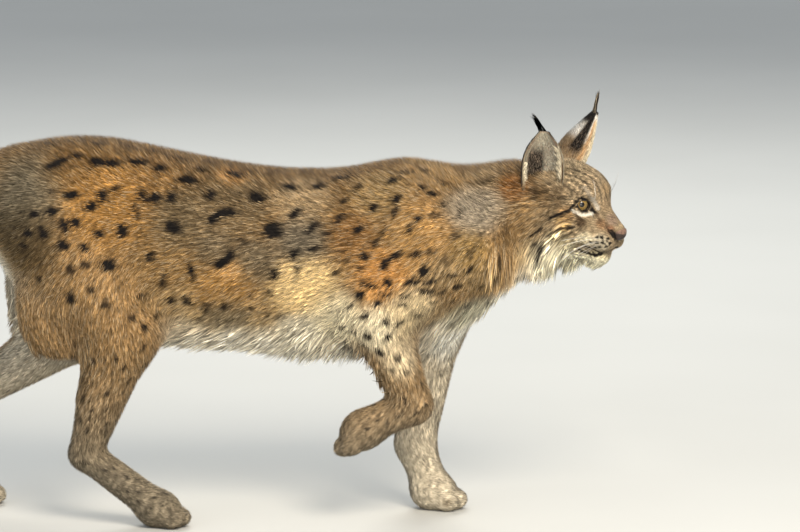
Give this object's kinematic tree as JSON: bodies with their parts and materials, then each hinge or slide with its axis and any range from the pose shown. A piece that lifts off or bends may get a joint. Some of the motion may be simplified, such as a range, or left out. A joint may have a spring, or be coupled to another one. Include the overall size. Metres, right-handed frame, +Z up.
{
  "type": "eurasian lynx",
  "caption": "Life-size still model of a walking Eurasian lynx with tufted ears, cheek ruff, spotted coat and short black-tipped tail, one forepaw lifted and the head turned to its right.",
  "frame": {"origin": "on the floor, under the middle of the whole animal's box", "axes": "+X towards the nose, +Y towards the animal's left side, +Z up"},
  "size_m": [1.0758, 0.2888, 0.6285],
  "materials": {
    "body_fur": "dense soft tawny grey-brown fur with black spots, warmer on the flank and shoulder, cream below",
    "head_fur": "short grey-brown face fur with dark stripes, cream muzzle, chin and cheek ruff",
    "paw_fur": "short pale buff fur",
    "tail_fur": "thick fur, buff at the root and black on the last third",
    "ear_fur": "short fur, grey patch on a black back, pale inside, long black tuft at the tip",
    "nose_leather": "bare pinkish-brown pebbled skin, slightly moist",
    "eye": "clear wet amber eye with a round dark pupil"
  },
  "bodies": {
    "root": {"head": "head_fur", "nose": "nose_leather", "right_ear": "ear_fur", "left_ear": "ear_fur", "right_eye": "eye", "left_eye": "eye", "neck": "body_fur", "torso": "body_fur", "tail": "tail_fur", "right_foreleg": "body_fur", "right_forepaw": "paw_fur", "left_foreleg": "body_fur", "left_forepaw": "paw_fur", "right_hind_leg": "body_fur", "right_hind_paw": "paw_fur", "left_hind_leg": "body_fur", "left_hind_paw": "paw_fur"}
  },
  "joints": []
}
